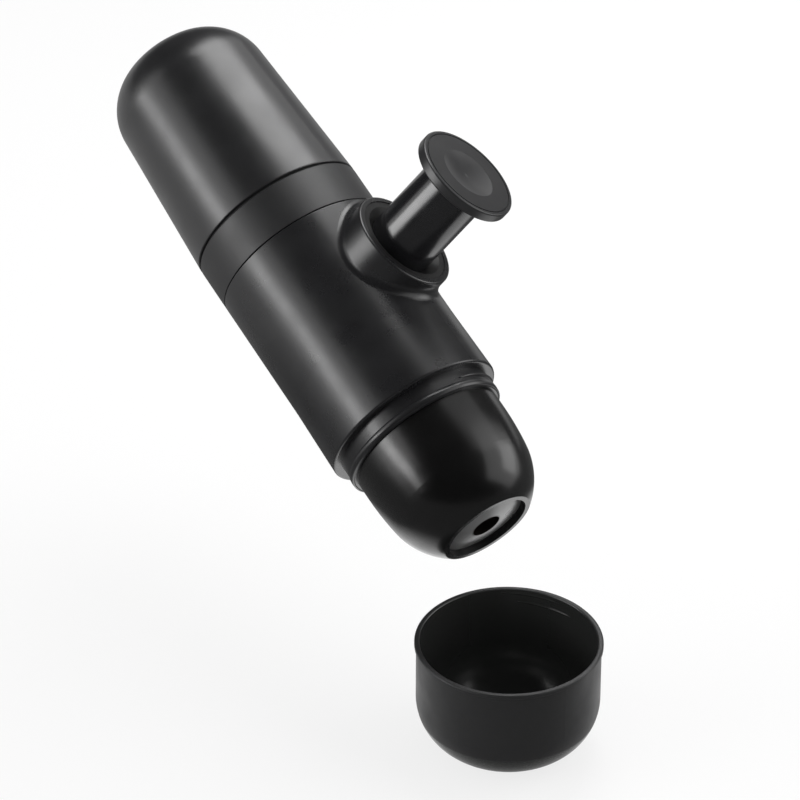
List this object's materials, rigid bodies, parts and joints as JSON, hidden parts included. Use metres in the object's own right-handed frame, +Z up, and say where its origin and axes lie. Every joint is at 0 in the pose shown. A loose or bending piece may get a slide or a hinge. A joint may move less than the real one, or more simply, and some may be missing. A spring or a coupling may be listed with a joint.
{
  "type": "espresso maker",
  "caption": "Handheld espresso maker: round-ended water tank on a T-shaped barrel with a side piston pump and push knob, a domed screw-in outlet head and a separate drinking cup.",
  "frame": {"origin": "the crossing of the barrel's axis and the piston's axis, inside the barrel, where a hand holds the maker", "axes": "+Z is up. The barrel's axis lies in the XZ plane, and its outlet end points along +X and 27 degrees down. The piston points up, along +X and towards +Y. The cup stands on a table below, ahead of the outlet."},
  "size_m": [0.2325, 0.0822, 0.1792],
  "materials": {
    "body_plastic": "satin",
    "knob_plastic": "satin",
    "sleeve_gloss": "glossy",
    "inner_plastic": "satin",
    "seal_rubber": "matte",
    "valve_silicone": "matte",
    "face_plastic": "satin",
    "sheet_steel": "satin",
    "steel": "polished"
  },
  "bodies": {
    "main": {"main_body": "body_plastic", "guide_ring": "body_plastic", "wiper_seal": "seal_rubber", "tank_collar": "body_plastic", "intake_deck": "inner_plastic", "deck_seal": "seal_rubber", "intake_strainer": "inner_plastic", "air_valve": "valve_silicone", "valve_block": "inner_plastic", "block_seal": "seal_rubber", "block_screws": "steel", "inlet_seat": "inner_plastic", "inlet_spring": "steel", "outlet_spring": "steel", "outlet_plug": "inner_plastic", "pump_cylinder": "inner_plastic", "port_seal": "seal_rubber", "pump_screws": "steel", "gland_cap": "inner_plastic", "return_spring": "steel", "basket_gasket": "valve_silicone", "shower_screen": "sheet_steel", "shower_screw": "steel"},
    "piston": {"piston_rod": "steel", "piston_head": "inner_plastic", "piston_seal": "seal_rubber"},
    "piston_grip": {"piston_sleeve": "sleeve_gloss", "piston_knob": "knob_plastic", "rod_retainer": "steel"},
    "tank_ring": {"tank_seal": "seal_rubber"},
    "tank": {"water_tank": "body_plastic"},
    "basket": {"filter_basket": "sheet_steel"},
    "outlet": {"outlet_head": "body_plastic", "nozzle_plate": "face_plastic", "crema_valve": "valve_silicone"},
    "inlet_valve": {"inlet_ball": "steel"},
    "outlet_valve": {"outlet_ball": "steel"},
    "cup": {"cup": "body_plastic"}
  },
  "joints": [
    {"name": "piston_press", "type": "slide", "parent": "main", "child": "piston", "axis": [-0.4027, -0.4617, -0.7903], "range_m": [0, 0.028], "stiffness_N_per_m": 400, "springref_m": -0.008, "deforming": ["return_spring"]},
    {"name": "piston_lock_turn", "type": "hinge", "parent": "piston", "child": "piston_grip", "pos_m": [0, 0, 0], "axis": [0.4027, 0.4617, 0.7903], "range_deg": [0, 60]},
    {"name": "tank_turn", "type": "hinge", "parent": "main", "child": "tank_ring", "pos_m": [0, 0, 0], "axis": [-0.891, 0, 0.454], "range_deg": [0, 180]},
    {"name": "tank_lift", "type": "slide", "parent": "tank_ring", "child": "tank", "axis": [-0.891, 0, 0.454], "range_m": [0, 0.009]},
    {"name": "head_drop", "type": "slide", "parent": "main", "child": "basket", "axis": [0.891, 0, -0.454], "range_m": [0, 0.009]},
    {"name": "head_turn", "type": "hinge", "parent": "basket", "child": "outlet", "pos_m": [0, 0, 0], "axis": [0.891, 0, -0.454], "range_deg": [0, 180]},
    {"name": "inlet_valve_lift", "type": "slide", "parent": "main", "child": "inlet_valve", "axis": [0.891, 0, -0.454], "range_m": [0, 0.0012], "stiffness_N_per_m": 20, "springref_m": -0.001, "deforming": ["inlet_spring"]},
    {"name": "outlet_valve_lift", "type": "slide", "parent": "main", "child": "outlet_valve", "axis": [0.891, 0, -0.454], "range_m": [0, 0.0012], "stiffness_N_per_m": 20, "springref_m": -0.001, "deforming": ["outlet_spring"]},
    {"name": "cup_slide", "type": "slide", "parent": "main", "child": "cup", "axis": [1, 0, 0], "range_m": [0, 0.08]}
  ],
  "couplings": [
    {"joint": "tank_turn", "follows": "tank_lift", "rad_per_m": 349.06},
    {"joint": "head_turn", "follows": "head_drop", "rad_per_m": 349.06}
  ]
}
